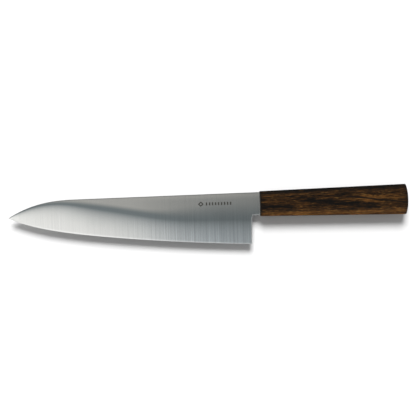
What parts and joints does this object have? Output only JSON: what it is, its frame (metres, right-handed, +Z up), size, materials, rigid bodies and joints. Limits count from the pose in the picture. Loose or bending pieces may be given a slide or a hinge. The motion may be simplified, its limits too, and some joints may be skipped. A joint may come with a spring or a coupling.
{
  "type": "chef knife",
  "caption": "Chef knife with a thin curved-edge steel blade and a tapered octagonal wooden handle with a domed butt.",
  "frame": {"origin": "on the surface that the knife lies on, under the centre of its bounding box", "axes": "the knife lies on its right side: +X along the handle's axis towards the butt, +Y from the cutting edge towards the spine, +Z up, out of the left side"},
  "size_m": [0.3456, 0.0477, 0.019],
  "materials": {
    "blade_steel": "satin, ground across the blade, with a brighter lower face and a fine polished edge bevel",
    "burnt_wood": "burnt and oiled, near black with brown and orange-brown grain running along the handle",
    "dowel_wood": "plain sawn beech, unfinished",
    "adhesive": "cured resin tinted dark brown to go with the wood",
    "seal": "thin pale grey bead, satin"
  },
  "bodies": {
    "root": {"blade": "blade_steel", "handle_body": "burnt_wood", "tang_dowel_left": "dowel_wood", "tang_dowel_right": "dowel_wood", "tang_adhesive": "adhesive", "neck_seal": "seal"}
  },
  "joints": []
}
